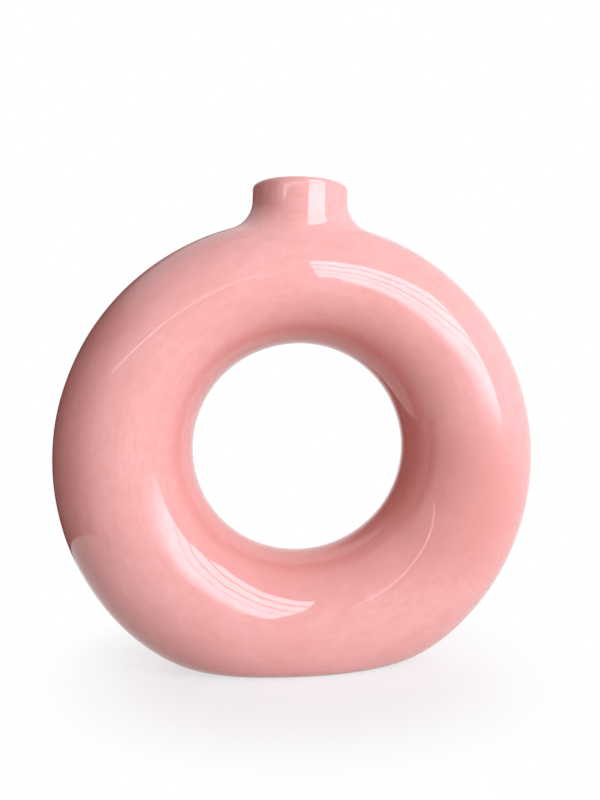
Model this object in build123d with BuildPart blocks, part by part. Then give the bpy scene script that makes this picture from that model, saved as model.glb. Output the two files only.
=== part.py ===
from build123d import *
from math import cos, sin, pi, radians, sqrt
import os

# Donut vase: an upright hollow hoop of clay with a short round neck on its crest and a flat foot.
# Lengths in millimetres. The origin is the middle of the foot, on the table. +Z is up, the front
# is towards -Y, and the hoop lies in the XZ plane.

# Hoop, measured over the glaze
hoop_mean = 86.0  # mean radius of the tube's mid-line
hoop_oval = 0.8  # the mid-line is this much wider, and this much lower, than a true circle
tube_w = 33.2  # half-width of the tube in the plane of the hoop
tube_d = 33.2  # half-depth of the tube, front to back
heavy = 3.0  # the tube is this much thicker at the bottom and thinner at the crest

# Foot: the bottom of the hoop is pressed flat with a soft turn, then trued on the table
foot_cut = 15.4  # how much of the round hoop the table plane takes off
foot_trim = 1.9  # how far below the table the soft turn would settle
foot_soft = 7.0  # how wide the soft turn is

# Neck, measured over the glaze, square to its own axis
neck_r = 23.5  # outer radius
neck_height = 16.8  # lip above the hoop's crest, along the axis
neck_offset = 1.1  # the axis leaves the mid-line this far towards -X
neck_lean = 1.5  # degrees, and leans back towards +X
neck_fillet = 16.0  # sweep from the hoop into the neck
throat_round = 6.0  # the same corner inside
lip_round = 2.2  # rounding of the lip, outside and inside

# Layers of the wall, from the outside in
glaze = 0.5
wall = 4.5
liner = 0.4
glaze_reach = 8.0  # the outer glaze runs this far down inside the mouth
bare_rise = 0.8  # and stops this far above the table

# Joints in the clay, filled with slip
slip = 1.0  # width of each joint
collar_margin = 2.0  # the neck's joint lies this far outside the neck
slab_long = 44.0  # half-length of the slab that closes the foot
slab_share = 0.66  # half-width of that slab, as a share of the tube's half-depth

overrun = 20.0  # how far a cutting shape runs past what it cuts

# How finely the hoop is drawn
outline_points = 24  # points round each section
crest_stations = 8  # sections over the crest, from side to side
foot_stations = 20  # sections round the foot, from side to side

hoop_z = hoop_mean - hoop_oval + tube_w + heavy - foot_cut
crest_middle = hoop_z + hoop_mean - hoop_oval
neck_rise = tube_w - heavy + neck_height
clay_inside = glaze + wall
glaze_inside = clay_inside + liner
outline_marks = [i / outline_points for i in range(outline_points + 1)]
collar_r = neck_r + collar_margin

tilt = radians(neck_lean)
neck_up = Vector(sin(tilt), 0, cos(tilt))
neck_across = Vector(cos(tilt), 0, -sin(tilt))
neck_root = Vector(-neck_offset, 0, crest_middle)


def neck_plane(height):
    """The plane across the neck's axis, at a height along it above the tube's mid-line."""
    return Plane(origin=neck_root + neck_up * height, x_dir=neck_across, z_dir=neck_up)


def tube_outline(angle, inset):
    """Points round the tube at one angle of the hoop, as distance from its centre and depth."""
    middle = hoop_mean + hoop_oval * cos(2 * angle)
    half_width = tube_w - heavy * sin(angle) - inset
    half_depth = tube_d - inset
    drop = -sin(angle)
    outline = []
    for i in range(outline_points):
        turn = 2 * pi * i / outline_points
        reach = middle + half_width * cos(turn)
        if drop > 0:
            spare = (hoop_z + foot_trim) / drop - inset - reach
            reach -= foot_soft**2 / (2 * (spare + sqrt(spare**2 + foot_soft**2)))
        outline.append((reach, half_depth * sin(turn)))
    return outline


def hoop(inset):
    """The hoop as a solid, its skin taken in by the inset."""
    with BuildPart() as ring:
        for start, stations in ((0, crest_stations), (pi, foot_stations)):
            for i in range(stations + 1):
                angle = start + pi * i / stations
                outwards = Vector(cos(angle), 0, sin(angle))
                onwards = Vector(sin(angle), 0, -cos(angle))
                points = tube_outline(angle, inset)
                outline = Edge.make_spline(points, periodic=True, parameters=outline_marks)
                with BuildSketch(Plane(origin=(0, 0, hoop_z), x_dir=outwards, z_dir=onwards)):
                    with BuildLine():
                        add(outline)
                    make_face()
            loft()
    return ring.part


def hoop_and_neck(inset, corner, top):
    """The hoop with a solid neck on it, both taken in by the inset."""
    radius = neck_r - inset
    with BuildPart() as form:
        add(hoop(inset))
        with BuildSketch(neck_plane(0)):
            Circle(radius)
        extrude(amount=top)
        meeting = []
        for edge in form.edges().filter_by(GeomType.BSPLINE):
            spot = neck_plane(0).to_local_coords(edge @ 0.5)
            if abs(sqrt(spot.X**2 + spot.Y**2) - radius) < liner:
                meeting.append(edge)
        fillet(meeting, corner)
    return form.part


def walls(outside, inside, rounding):
    """What lies between two forms, trued at the foot and rounded at the lip."""
    with BuildPart() as shell:
        add(outside)
        split(bisect_by=Plane.XY, keep=Keep.TOP)
        add(inside, mode=Mode.SUBTRACT)
        lip = shell.faces().sort_by(Axis(tuple(neck_root), tuple(neck_up)))[-1]
        fillet(lip.edges(), rounding)
    return shell.part


def neck_column(radius):
    """A round column up the neck's axis, out of the tube's mid-line."""
    with BuildPart() as column:
        with BuildSketch(neck_plane(0)):
            Circle(radius)
        extrude(amount=neck_rise + overrun)
    return column.part


def foot_column(margin):
    """An oval column up through the foot, as high as the tube is wide."""
    with BuildPart() as column:
        with BuildSketch(Plane.XY.offset(-overrun)):
            Ellipse(slab_long + margin, slab_share * tube_d + margin)
        extrude(amount=overrun + tube_w)
    return column.part


def finish(piece, name):
    """Label a piece and write its file."""
    piece.label = name
    export_step(piece, f"parts/{name}.step")


os.makedirs("parts", exist_ok=True)

skin_form = hoop_and_neck(0, neck_fillet, neck_rise)
clay_form = hoop_and_neck(glaze, neck_fillet + glaze, neck_rise - glaze)
clay_hollow = hoop_and_neck(clay_inside, throat_round, neck_rise + overrun)
glaze_hollow = hoop_and_neck(glaze_inside, throat_round + liner, neck_rise + overrun)
clay = walls(clay_form, clay_hollow, lip_round - glaze)
glazed = walls(skin_form, glaze_hollow, lip_round)
glaze_end = neck_plane(neck_rise - glaze_reach)

# Neck: the collar with its lip, and the crest of the hoop just round it
with BuildPart() as neck:
    add(clay)
    add(neck_column(collar_r), mode=Mode.INTERSECT)

# Neck joint: slip between the collar and the hoop
with BuildPart() as neck_joint:
    add(clay)
    add(neck_column(collar_r + slip), mode=Mode.INTERSECT)
    add(neck_column(collar_r), mode=Mode.SUBTRACT)

# Foot slab: the oval plate that closes the pressed foot
with BuildPart() as foot_slab:
    add(clay)
    add(foot_column(0), mode=Mode.INTERSECT)

# Foot joint: slip between the slab and the hoop
with BuildPart() as foot_joint:
    add(clay)
    add(foot_column(slip), mode=Mode.INTERSECT)
    add(foot_column(0), mode=Mode.SUBTRACT)

# Hoop wall: what is left of the clay, before it is parted front from back
with BuildPart() as hoop_wall:
    add(clay)
    add(neck_column(collar_r + slip), mode=Mode.SUBTRACT)
    add(foot_column(slip), mode=Mode.SUBTRACT)

front_joint = Plane.XZ.offset(slip / 2)
back_joint = Plane.XZ.offset(-slip / 2)

# Front half: the half shell towards the viewer
with BuildPart() as front_half:
    add(hoop_wall.part)
    split(bisect_by=front_joint, keep=Keep.TOP)

# Back half: the same shell behind
with BuildPart() as back_half:
    add(hoop_wall.part)
    split(bisect_by=back_joint, keep=Keep.BOTTOM)

# Seams: slip between the halves, as an arc on each side and a ring round the hole
with BuildPart() as seams:
    add(hoop_wall.part)
    split(bisect_by=front_joint, keep=Keep.BOTTOM)
    split(bisect_by=back_joint, keep=Keep.TOP)

# Outer glaze: the coloured skin, from just above the table over the lip and into the mouth
with BuildPart() as glaze_core:
    add(clay_form)
    split(bisect_by=glaze_end, keep=Keep.BOTTOM)
with BuildPart() as clay_lip:
    add(clay)
    split(bisect_by=glaze_end, keep=Keep.TOP)
with BuildPart() as outer_glaze:
    add(glazed)
    split(bisect_by=Plane.XY.offset(bare_rise), keep=Keep.TOP)
    add(glaze_core.part, mode=Mode.SUBTRACT)
    add(clay_lip.part, mode=Mode.SUBTRACT)

# Liner glaze: the watertight skin inside, up to where the outer glaze ends
with BuildPart() as liner_glaze:
    add(clay_hollow)
    split(bisect_by=glaze_end, keep=Keep.BOTTOM)
    add(glaze_hollow, mode=Mode.SUBTRACT)

finish(neck.part, "neck")
finish(neck_joint.part, "neck_joint")
finish(foot_slab.part, "foot_slab")
finish(foot_joint.part, "foot_joint")
finish(front_half.part, "front_half")
finish(back_half.part, "back_half")
seam_names = ("left_seam", "hole_seam", "right_seam")
for seam, name in zip(seams.solids().sort_by(Axis.X), seam_names):
    finish(seam, name)
finish(outer_glaze.part, "outer_glaze")
finish(liner_glaze.part, "liner_glaze")
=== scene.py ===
from math import cos, pi, radians, sin

import bmesh
import bpy
import numpy as np
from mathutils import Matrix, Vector


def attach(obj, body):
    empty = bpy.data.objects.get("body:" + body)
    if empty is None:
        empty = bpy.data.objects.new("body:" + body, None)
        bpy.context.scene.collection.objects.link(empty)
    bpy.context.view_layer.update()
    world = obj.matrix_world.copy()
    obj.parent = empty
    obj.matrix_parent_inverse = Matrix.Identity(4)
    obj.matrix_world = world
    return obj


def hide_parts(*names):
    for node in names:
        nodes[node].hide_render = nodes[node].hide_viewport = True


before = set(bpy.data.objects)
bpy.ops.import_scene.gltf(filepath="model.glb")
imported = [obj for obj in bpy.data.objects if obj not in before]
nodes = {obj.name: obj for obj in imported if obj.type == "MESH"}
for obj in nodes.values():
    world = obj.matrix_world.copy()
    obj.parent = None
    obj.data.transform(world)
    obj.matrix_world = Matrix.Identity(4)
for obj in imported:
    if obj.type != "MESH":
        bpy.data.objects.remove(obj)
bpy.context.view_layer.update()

# Glaze skin: the coloured surface on a fine even grid, from the same sizes as the CAD model
HOOP_MEAN, HOOP_OVAL, HOOP_Z = 86.0, 0.8, 106.0
TUBE_W, TUBE_D, HEAVY = 33.2, 33.2, 3.0
FOOT_TRIM, FOOT_SOFT, BARE_RISE = 1.9, 7.0, 0.8
NECK_R, NECK_RISE, NECK_OFFSET, NECK_LEAN, NECK_FILLET = 23.5, 47.0, 1.1, 1.5, 16.0
BORE_R, LIP_ROUND, GLAZE_REACH, GLAZE = 18.1, 2.2, 8.0, 0.5

# How finely the skin is drawn: steps round the hoop and across the tube, and how far the gap that
# the neck fills reaches each way from the crest
ROUND, ACROSS = 288, 144
CREST = ROUND // 4
REACH_ROUND, REACH_ACROSS = 24, 32
BORE_STEPS, LIP_STEPS, NECK_STEPS, SWEEP_STEPS, SHOULDER_STEPS = 4, 8, 8, 24, 18
SOLVER_STEPS = 12
TINY = 1e-5
NEARLY_NONE = 1e-9
TABLE_EDGE = 0.01  # metres: lower open edges than this are the glaze's end at the table

lean = radians(NECK_LEAN)
NECK_UP = np.array([sin(lean), 0.0, cos(lean)])
NECK_RIGHT = np.array([cos(lean), 0.0, -sin(lean)])
NECK_FRONT = np.array([0.0, -1.0, 0.0])
NECK_ROOT = np.array([-NECK_OFFSET, 0.0, HOOP_Z + HOOP_MEAN - HOOP_OVAL])


def skin_point(along, turn):
    """A point of the skin in millimetres: along the hoop from its right side, and round the tube."""
    reach = HOOP_MEAN + HOOP_OVAL * np.cos(2 * along)
    reach = reach + (TUBE_W - HEAVY * np.sin(along)) * np.cos(turn)
    drop = np.maximum(-np.sin(along), NEARLY_NONE)
    spare = (HOOP_Z + FOOT_TRIM) / drop - reach
    reach = reach - FOOT_SOFT**2 / (2 * (spare + np.sqrt(spare**2 + FOOT_SOFT**2)))
    depth = -TUBE_D * np.sin(turn)
    return np.stack([reach * np.cos(along), depth, HOOP_Z + reach * np.sin(along)], -1)


def skin_normal(along, turn):
    one = skin_point(along + TINY, turn) - skin_point(along - TINY, turn)
    two = skin_point(along, turn + TINY) - skin_point(along, turn - TINY)
    normal = np.cross(one, two)
    return normal / np.linalg.norm(normal, axis=-1, keepdims=True)


def neck_point(radius, height, outwards):
    """A point off the neck's axis, at a radius and at a height above the tube's mid-line."""
    return NECK_ROOT + radius[..., None] * outwards + height[..., None] * NECK_UP


def rolling_ball(around):
    """Where a ball of the fillet's radius touches both the neck and the hoop."""
    outwards = np.cos(around)[:, None] * NECK_RIGHT + np.sin(around)[:, None] * NECK_FRONT
    far = NECK_R + NECK_FILLET
    turn = np.arcsin(far * np.sin(around) / (TUBE_D + NECK_FILLET))
    crest = HOOP_MEAN - HOOP_OVAL + (TUBE_W - HEAVY + NECK_FILLET) * np.cos(turn)
    along = pi / 2 - far * np.cos(around) / crest
    height = (TUBE_W - HEAVY + NECK_FILLET) * np.cos(turn)

    def miss(state):
        ball = skin_point(state[0], state[1]) + NECK_FILLET * skin_normal(state[0], state[1])
        return ball - neck_point(np.full_like(state[2], far), state[2], outwards)

    state = np.stack([along, turn, height])
    for _ in range(SOLVER_STEPS):
        here = miss(state)
        slopes = []
        for k in range(3):
            shifted = state.copy()
            shifted[k] += TINY
            slopes.append((miss(shifted) - here) / TINY)
        jacobian = np.stack(slopes, -1)
        state = state - np.linalg.solve(jacobian, here[..., None])[..., 0].T
    return outwards, state


def waviness(points):
    """Slight unevenness of a hand-finished pot, in millimetres."""
    total = np.zeros(len(points))
    # Height, wavelength, direction and phase of each swell
    swells = (
        (0.050, 61.0, (0.8, 0.3, 0.5), 0.4),
        (0.040, 47.0, (-0.4, 0.5, 0.9), 1.7),
        (0.026, 31.0, (0.6, -0.7, 0.2), 2.9),
        (0.020, 26.0, (0.1, 0.6, -0.8), 4.1),
        (0.012, 17.0, (0.9, 0.2, -0.6), 5.3),
    )
    for height, length, way, phase in swells:
        way = np.array(way) / np.linalg.norm(way)
        total += height * np.sin(points @ way * 2 * pi / length + phase)
    return total


def build_skin():
    """The hoop's grid of quads, joined to rings that run over the neck, its lip and into its bore."""
    faces = []
    grid = {}
    for j in range(ROUND):
        for k in range(ACROSS):
            off = (k + ACROSS // 2) % ACROSS - ACROSS // 2
            if abs(j - CREST) < REACH_ROUND and abs(off) < REACH_ACROSS:
                continue
            grid[j, k] = len(grid)
    order = sorted(grid, key=grid.get)
    along = np.array([2 * pi * j / ROUND for j, k in order])
    turn = np.array([2 * pi * k / ACROSS for j, k in order])
    points = [skin_point(along, turn)]
    for j in range(ROUND):
        for k in range(ACROSS):
            next_j, next_k = (j + 1) % ROUND, (k + 1) % ACROSS
            corners = [(j, k), (next_j, k), (next_j, next_k), (j, next_k)]
            off = (k + ACROSS // 2) % ACROSS - ACROSS // 2
            if -REACH_ROUND <= j - CREST < REACH_ROUND and -REACH_ACROSS <= off < REACH_ACROSS:
                continue
            faces.append([grid[c] for c in corners])

    # The edge of the gap that the neck fills, once round it from the right
    edge = []
    edge += [(-REACH_ROUND, k) for k in range(0, REACH_ACROSS)]
    edge += [(j, REACH_ACROSS) for j in range(-REACH_ROUND, REACH_ROUND)]
    edge += [(REACH_ROUND, k) for k in range(REACH_ACROSS, -REACH_ACROSS, -1)]
    edge += [(j, -REACH_ACROSS) for j in range(REACH_ROUND, -REACH_ROUND, -1)]
    edge += [(-REACH_ROUND, k) for k in range(-REACH_ACROSS, 0)]
    last_row = [grid[CREST + j, k % ACROSS] for j, k in edge]
    edge_along = np.array([2 * pi * (CREST + j) / ROUND for j, k in edge])
    edge_turn = np.array([2 * pi * k / ACROSS for j, k in edge])
    crest_r = HOOP_MEAN - HOOP_OVAL + TUBE_W - HEAVY
    around = np.arctan2(TUBE_D * edge_turn, crest_r * (pi / 2 - edge_along))
    outwards, (seat_along, seat_turn, seat_height) = rolling_ball(around)

    def level(radius, height):
        return neck_point(np.full(len(edge), radius), np.full(len(edge), height), outwards)

    rows = []
    top = NECK_RISE - LIP_ROUND
    bottom = NECK_RISE - GLAZE_REACH
    for i in range(BORE_STEPS):
        rows.append(level(BORE_R, bottom + (top - NECK_RISE + GLAZE_REACH) * i / BORE_STEPS))
    for i in range(LIP_STEPS + 1):
        a = pi / 2 * i / LIP_STEPS
        rows.append(level(BORE_R + LIP_ROUND * (1 - cos(a)), top + LIP_ROUND * sin(a)))
    for i in range(LIP_STEPS + 1):
        a = pi / 2 * i / LIP_STEPS
        rows.append(level(NECK_R - LIP_ROUND * (1 - sin(a)), top + LIP_ROUND * cos(a)))
    for i in range(1, NECK_STEPS):
        height = top + (seat_height - top) * i / NECK_STEPS
        rows.append(neck_point(np.full(len(edge), NECK_R), height, outwards))
    ball = neck_point(np.full(len(edge), NECK_R + NECK_FILLET), seat_height, outwards)
    down = -skin_normal(seat_along, seat_turn)
    bend = np.arccos(np.clip(np.sum(-outwards * down, -1), -1, 1))[:, None]
    for i in range(SWEEP_STEPS + 1):
        t = i / SWEEP_STEPS
        way = (np.sin((1 - t) * bend) * -outwards + np.sin(t * bend) * down) / np.sin(bend)
        rows.append(ball + NECK_FILLET * way)
    for i in range(1, SHOULDER_STEPS):
        t = i / SHOULDER_STEPS
        here_along = seat_along + (edge_along - seat_along) * t
        rows.append(skin_point(here_along, seat_turn + (edge_turn - seat_turn) * t))
    start = len(grid)
    n = len(edge)
    indexes = [[start + r * n + i for i in range(n)] for r in range(len(rows))] + [last_row]
    points += rows
    for a, b in zip(indexes, indexes[1:]):
        for i in range(n):
            faces.append([a[i], a[(i + 1) % n], b[(i + 1) % n], b[i]])

    mesh = bpy.data.meshes.new("glaze_skin")
    mesh.from_pydata((np.concatenate(points) / 1000).tolist(), [], faces)
    bm = bmesh.new()
    bm.from_mesh(mesh)
    bmesh.ops.recalc_face_normals(bm, faces=bm.faces)
    bm.normal_update()
    swell = waviness(np.array([v.co for v in bm.verts]) * 1000) / 1000
    shift = [(v, v.normal * s) for v, s in zip(bm.verts, swell)]
    for v, move in shift:
        v.co += move

    # The glaze ends just above the table, in an edge as thick as the glaze
    everything = bm.verts[:] + bm.edges[:] + bm.faces[:]
    end = (0, 0, BARE_RISE / 1000)
    bmesh.ops.bisect_plane(bm, geom=everything, plane_co=end, plane_no=(0, 0, 1), clear_inner=True)
    bm.normal_update()
    rim = [e for e in bm.edges if e.is_boundary and max(v.co.z for v in e.verts) < TABLE_EDGE]
    inner = {}
    for e in rim:
        for v in e.verts:
            if v not in inner:
                inner[v] = bm.verts.new(v.co - v.normal * GLAZE / 1000)
    for e in rim:
        a, b = e.verts
        bm.faces.new([a, b, inner[b], inner[a]])
    bmesh.ops.recalc_face_normals(bm, faces=bm.faces)
    bm.to_mesh(mesh)
    bm.free()
    mesh.polygons.foreach_set("use_smooth", [True] * len(mesh.polygons))
    piece = bpy.data.objects.new("glaze_skin", mesh)
    bpy.context.scene.collection.objects.link(piece)
    return piece


glaze_skin = build_skin()
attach(glaze_skin, "root")
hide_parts("outer_glaze")


# Materials
class Tree:
    """A short way to write the nodes of a material or a world."""

    def __init__(self, owner, space="Object"):
        owner.use_nodes = True
        self.owner = owner
        self.nodes = owner.node_tree.nodes
        self.links = owner.node_tree.links
        self.place = self.add("ShaderNodeTexCoord").outputs[space]
        self.shader = self.nodes.get("Principled BSDF")

    def add(self, kind, **values):
        node = self.nodes.new(kind)
        for key, value in values.items():
            setattr(node, key, value)
        return node

    def put(self, value, socket):
        """Join another node's output to a socket, or set the socket to a plain value."""
        if isinstance(value, bpy.types.NodeSocket):
            self.links.new(value, socket)
        else:
            socket.default_value = value

    def math(self, kind, *values):
        node = self.add("ShaderNodeMath", operation=kind)
        for value, socket in zip(values, node.inputs):
            self.put(value, socket)
        return node.outputs["Value"]

    def vector_math(self, kind, *values):
        node = self.add("ShaderNodeVectorMath", operation=kind)
        for value, socket in zip(values, node.inputs):
            self.put(value, socket)
        return node

    def axes(self):
        node = self.add("ShaderNodeSeparateXYZ")
        self.put(self.place, node.inputs["Vector"])
        return node.outputs["X"], node.outputs["Y"], node.outputs["Z"]

    def combine(self, x, y, z):
        node = self.add("ShaderNodeCombineXYZ")
        for value, socket in zip((x, y, z), node.inputs):
            self.put(value, socket)
        return node.outputs["Vector"]

    def noise(self, scale, detail=3.0, rough=0.5, place=None):
        node = self.add("ShaderNodeTexNoise")
        node.inputs["Scale"].default_value = scale
        node.inputs["Detail"].default_value = detail
        node.inputs["Roughness"].default_value = rough
        self.put(place or self.place, node.inputs["Vector"])
        return node.outputs["Fac"]

    def ramp(self, value, low, high, start=0.0, end=1.0):
        node = self.add("ShaderNodeMapRange", interpolation_type="SMOOTHSTEP")
        for key, number in (("From Min", low), ("From Max", high), ("To Min", start), ("To Max", end)):
            node.inputs[key].default_value = number
        self.put(value, node.inputs["Value"])
        return node.outputs["Result"]

    def mix(self, factor, first, second):
        node = self.add("ShaderNodeMix", data_type="RGBA")
        self.put(factor, node.inputs["Factor"])
        for socket, value in ((node.inputs[6], first), (node.inputs[7], second)):
            self.put((*value, 1.0) if isinstance(value, tuple) else value, socket)
        return node.outputs[2]

    def bump(self, height, strength, distance, below=None):
        node = self.add("ShaderNodeBump")
        node.inputs["Strength"].default_value = strength
        node.inputs["Distance"].default_value = distance
        self.put(height, node.inputs["Height"])
        if below:
            self.put(below, node.inputs["Normal"])
        return node.outputs["Normal"]

    def finish(self, colour, roughness, normal):
        self.put(colour, self.shader.inputs["Base Color"])
        self.put(roughness, self.shader.inputs["Roughness"])
        self.put(normal, self.shader.inputs["Normal"])
        return self.owner

    def matt(self, colour, roughness):
        self.put(colour, self.shader.inputs["Base Color"])
        self.shader.inputs["Roughness"].default_value = roughness
        self.shader.inputs["Specular IOR Level"].default_value = 0.0

    def show(self, surface):
        self.put(surface, self.nodes["Material Output"].inputs["Surface"])

    def show_blend(self, factor, first, second):
        node = self.add("ShaderNodeMixShader")
        self.put(factor, node.inputs["Fac"])
        self.put(first, node.inputs[1])
        self.put(second, node.inputs[2])
        self.show(node.outputs["Shader"])

    def show_light(self, level, colour):
        self.nodes.remove(self.shader)
        node = self.add("ShaderNodeEmission")
        node.inputs["Color"].default_value = (*colour, 1.0)
        self.put(level, node.inputs["Strength"])
        self.show(node.outputs["Emission"])

    def seen(self):
        """1 for rays from the camera, in reflections and through glass, else 0."""
        path = self.add("ShaderNodeLightPath")
        value = path.outputs["Is Camera Ray"]
        for other in ("Is Glossy Ray", "Is Transmission Ray"):
            value = self.math("MAXIMUM", value, path.outputs[other])
        return value


def material_tree(name):
    return Tree(bpy.data.materials.new(name))


STREAK_LENGTH = 0.016  # metres of the noise's space to each radian: small, so that the streaks are long
# Middle of the painted shade low on the right arm
PAINTED_SHADE_MIDDLE = (0.066, -0.024, 0.0)  # from the middle of the hoop: to the right, and up


def streaks_and_painted_shade(tree):
    """Brush streaks that run round the hoop, and painted shade: darker glaze by the hole and low on the
    right.
    """
    right, depth, rise = tree.axes()
    lift = tree.math("SUBTRACT", rise, HOOP_Z / 1000)
    flat = tree.combine(right, lift, 0.0)
    away = tree.vector_math("LENGTH", flat).outputs["Value"]
    along = tree.math("MULTIPLY", tree.math("ARCTAN2", lift, right), STREAK_LENGTH)
    streaks = tree.noise(420.0, 4.0, 0.6, tree.combine(away, depth, along))
    streaks = tree.ramp(streaks, 0.38, 0.70, 0.0, 0.34)
    # Painted shade: the glaze darkens towards the hole
    hole_painted_shade = tree.ramp(away, 0.050, 0.082, 0.66, 0.0)
    apart = tree.vector_math("DISTANCE", flat, PAINTED_SHADE_MIDDLE).outputs["Value"]
    # Painted shade: a darker area low on the right arm
    right_painted_shade = tree.ramp(apart, 0.018, 0.052, 0.75, 0.0)
    return streaks, tree.math("MAXIMUM", hole_painted_shade, right_painted_shade)


def pinholes(tree):
    """1 in a few small spots, else 0."""
    cells = tree.add("ShaderNodeTexVoronoi", feature="F1")
    cells.inputs["Scale"].default_value = 75.0
    tree.put(tree.place, cells.inputs["Vector"])
    spot = tree.ramp(cells.outputs["Distance"], 0.020, 0.034, 1.0, 0.0)
    pick = tree.add("ShaderNodeSeparateColor")
    tree.put(cells.outputs["Color"], pick.inputs["Color"])
    return tree.math("MULTIPLY", spot, tree.ramp(pick.outputs["Red"], 0.955, 0.96))


def glaze_material():
    tree = material_tree("pink_glaze")
    blotch = tree.ramp(tree.noise(26.0, 4.0, 0.55), 0.35, 0.65)
    colour = tree.mix(blotch, (0.885, 0.420, 0.401), (0.924, 0.465, 0.448))
    fine = tree.ramp(tree.noise(190.0, 3.0, 0.6), 0.30, 0.75, 0.0, 0.45)
    colour = tree.mix(fine, colour, (0.834, 0.381, 0.356))
    streaks, painted_shade = streaks_and_painted_shade(tree)
    colour = tree.mix(streaks, colour, (0.823, 0.347, 0.319))
    # Painted shade: a darker glaze colour by the hole and low on the right arm
    colour = tree.mix(painted_shade, colour, (0.739, 0.297, 0.269))
    holes = pinholes(tree)
    colour = tree.mix(holes, colour, (0.42, 0.17, 0.13))
    rough = tree.ramp(tree.noise(60.0, 2.0), 0.3, 0.7, 0.020, 0.045)
    tree.shader.inputs["IOR"].default_value = 1.515
    soft = tree.bump(tree.noise(95.0, 2.0), 0.025, 0.0006)
    return tree.finish(colour, rough, tree.bump(holes, 0.5, -0.0002, soft))


def clay_material(name, light, dark, rough):
    tree = material_tree(name)
    cloud = tree.ramp(tree.noise(45.0, 4.0), 0.3, 0.7)
    colour = tree.mix(cloud, dark, light)
    grit = tree.ramp(tree.noise(1400.0, 2.0), 0.62, 0.72)
    colour = tree.mix(grit, colour, tuple(c * 0.72 for c in dark))
    dryness = tree.ramp(tree.noise(300.0), 0.3, 0.7, rough - 0.08, rough + 0.06)
    return tree.finish(colour, dryness, tree.bump(tree.noise(900.0, 5.0, 0.6), 0.35, 0.0004))


def liner_material():
    tree = material_tree("pale_liner_glaze")
    cloud = tree.ramp(tree.noise(30.0, 3.0), 0.35, 0.65)
    colour = tree.mix(cloud, (0.86, 0.83, 0.78), (0.90, 0.88, 0.84))
    rough = tree.ramp(tree.noise(80.0), 0.3, 0.7, 0.10, 0.18)
    return tree.finish(colour, rough, tree.bump(tree.noise(120.0), 0.10, 0.0005))


glaze = glaze_material()
clay = clay_material("bisque_clay", (0.80, 0.75, 0.68), (0.74, 0.68, 0.60), 0.80)
slip = clay_material("joint_slip", (0.74, 0.68, 0.60), (0.68, 0.61, 0.52), 0.72)
liner = liner_material()
glaze_skin.data.materials.append(glaze)
finishes = {
    "front_half": clay,
    "back_half": clay,
    "neck": clay,
    "foot_slab": clay,
    "left_seam": slip,
    "right_seam": slip,
    "hole_seam": slip,
    "neck_joint": slip,
    "foot_joint": slip,
    "outer_glaze": glaze,
    "liner_glaze": liner,
}
for name, material in finishes.items():
    mesh = nodes[name].data
    mesh.materials.clear()
    mesh.materials.append(material)


# Stage: angles are in degrees and lengths in metres
WINDOW_AWAY = 1.5
WINDOW_LEVEL = 8.2
GLAZING_BARS = ((0.46, 0.008), (0.67, 0.016), (0.95, 0.020))  # height and half-thickness of each
FLOOR_REACH = 3.0
SHADOW_NEAR, SHADOW_FAR = 0.06, 0.14  # the floor turns from shaded to plain white between these
CARD_AWAY, CARD_HEIGHT = 0.25, 0.44
CARD_START, CARD_SWEEP, CARD_STEPS = -50, 140, 28


def towards(azimuth, elevation):
    """A direction: azimuth from the front (-Y) towards +X, and elevation above level."""
    a, e = radians(azimuth), radians(elevation)
    return Vector((sin(a) * cos(e), -cos(a) * cos(e), sin(e)))


def add_mesh(name, corners, faces, material):
    mesh = bpy.data.meshes.new(name)
    mesh.from_pydata(corners, [], faces)
    mesh.materials.append(material)
    item = bpy.data.objects.new(name, mesh)
    bpy.context.scene.collection.objects.link(item)
    return item


def white_floor():
    """A white floor that keeps the vase's shadow near it and is plain white further out."""
    tree = material_tree("white_floor")
    seen = tree.seen()
    tree.matt(tree.mix(seen, (0.50, 0.43, 0.40), (0.95, 0.95, 0.95)), 0.9)
    far = tree.vector_math("LENGTH", tree.place).outputs["Value"]
    away = tree.ramp(far, SHADOW_NEAR, SHADOW_FAR, 0.66, 1.0)
    white = tree.add("ShaderNodeEmission").outputs["Emission"]
    tree.show_blend(tree.math("MULTIPLY", away, seen), tree.shader.outputs["BSDF"], white)
    r = FLOOR_REACH
    corners = [(-r, -r, 0), (r, -r, 0), (r, r, 0), (-r, r, 0)]
    floor = add_mesh("floor", corners, [(0, 1, 2, 3)], tree.owner)


def standing_card(name, azimuth, width, low, high, material):
    """An upright rectangle facing the vase, which the camera doesn't see."""
    middle = towards(azimuth, 0) * WINDOW_AWAY
    right = Vector((-middle.y, middle.x, 0)).normalized() * width / 2
    ends = (middle - right, middle + right, middle + right, middle - right)
    corners = [(end.x, end.y, height) for end, height in zip(ends, (low, low, high, high))]
    item = add_mesh(name, corners, [(0, 1, 2, 3)], material)
    item.visible_camera = False


def daylight_window():
    """A tall soft light with thin glazing bars, dimmed along its lower part as by leaves outside."""
    tree = material_tree("window_light")
    rise = tree.axes()[2]
    leaves = tree.ramp(tree.noise(9.0, 3.0, 0.6), 0.3, 0.7, -0.03, 0.03)
    value = tree.ramp(tree.math("ADD", rise, leaves), -0.02, 0.37, 0.06, 1.0)
    for height, half in GLAZING_BARS:
        bar = tree.math("COMPARE", rise, height, half)
        value = tree.math("MULTIPLY", value, tree.math("SUBTRACT", 1.0, bar))
    tree.show_light(tree.math("MULTIPLY", value, WINDOW_LEVEL), (0.92, 0.93, 1.0))
    standing_card("window", azimuth=32, width=1.12, low=0.0, high=1.24, material=tree.owner)


def far_window():
    """A dim light further left with a brighter line along it, for the left arm and the bottom."""
    tree = material_tree("far_window_light")
    line = tree.math("COMPARE", tree.axes()[2], 0.65, 0.025)
    dim = tree.ramp(tree.noise(6.0, 2.0), 0.35, 0.6, 0.62, 1.16)
    tree.show_light(tree.math("MULTIPLY_ADD", line, 3.4, dim), (1.0, 1.0, 1.0))
    standing_card("far_window", azimuth=-22, width=1.5, low=0.02, high=0.70, material=tree.owner)


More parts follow.
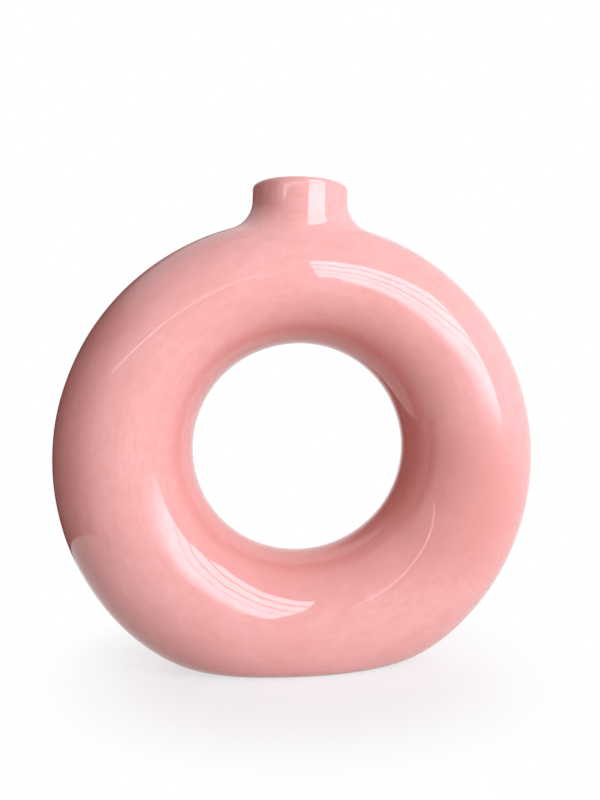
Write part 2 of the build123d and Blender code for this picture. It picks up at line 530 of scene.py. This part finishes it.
def dark_card():
    """A curved brown card, thin towards its edges, which darkens what the left side reflects."""
    tree = material_tree("brown_card")
    tree.matt((0.16, 0.040, 0.030, 1.0), 1.0)
    along = tree.vector_math("DOT_PRODUCT", tree.place, towards(CARD_START - CARD_SWEEP / 2, 0))
    across = tree.ramp(along.outputs["Value"], 0.09, 0.17)
    shown = tree.math("MULTIPLY", across, tree.ramp(tree.axes()[2], 0.27, 0.43, 1.0, 0.0))
    clear = tree.add("ShaderNodeBsdfTransparent").outputs["BSDF"]
    tree.show_blend(shown, clear, tree.shader.outputs["BSDF"])
    count = CARD_STEPS + 1
    rim = [towards(CARD_START - CARD_SWEEP * i / CARD_STEPS, 0) * CARD_AWAY for i in range(count)]
    corners = [(way.x, way.y, height) for height in (0.0, CARD_HEIGHT) for way in rim]
    faces = [(i, i + 1, i + count + 1, i + count) for i in range(CARD_STEPS)]
    card = add_mesh("left_card", corners, faces, tree.owner)
    card.visible_camera = False
    card.visible_diffuse = False
    card.visible_shadow = False


def studio_world():
    """White where it is seen. On the object, a soft light from the right and one from behind."""
    world = bpy.data.worlds.new("studio")
    bpy.context.scene.world = world
    tree = Tree(world, "Generated")

    def lobe(azimuth, elevation, strength, sharpness):
        facing = tree.vector_math("DOT_PRODUCT", tree.place, towards(azimuth, elevation))
        facing = tree.math("MAXIMUM", facing.outputs["Value"], 0.0)
        return tree.math("MULTIPLY", tree.math("POWER", facing, sharpness), strength)

    def scaled(colour, amount):
        node = tree.vector_math("SCALE", colour)
        tree.put(amount, node.inputs["Scale"])
        return node.outputs["Vector"]

    right = lobe(78, 8, strength=0.67, sharpness=2.0)
    behind = lobe(178, 10, strength=3.4, sharpness=6.0)
    soft = scaled((1.0, 1.0, 1.0), tree.math("ADD", right, behind))
    warm = scaled((1.0, 0.45, 0.40), 0.098)
    total = tree.vector_math("ADD", soft, warm).outputs["Vector"]
    tree.put(tree.mix(tree.seen(), total, (1.0, 1.0, 1.0)), tree.nodes["Background"].inputs["Color"])


white_floor()
daylight_window()
far_window()
dark_card()
studio_world()

# Camera, as fitted to the photograph's outline, with its focal length and shift in pixels
FRAME_HEIGHT, FOCAL_PIXELS, SHIFT_PIXELS = 800, 835.9, 19.2
SENSOR = 36.0
EYE_AWAY = 0.41905
camera = bpy.data.cameras.new("camera")
camera.sensor_fit = "VERTICAL"
camera.sensor_height = SENSOR
camera.lens = FOCAL_PIXELS * SENSOR / FRAME_HEIGHT
camera.shift_y = SHIFT_PIXELS / FRAME_HEIGHT
camera.clip_start = 0.01
eye = bpy.data.objects.new("camera", camera)
bpy.context.scene.collection.objects.link(eye)
target = Vector((0, 0, 0.1231))
back = Vector((-0.16451, -0.98552, 0.04089)).normalized()
eye.location = target + back * EYE_AWAY
eye.rotation_euler = back.to_track_quat("Z", "Y").to_euler()
bpy.context.scene.camera = eye
bpy.context.scene.view_settings.view_transform = "Standard"
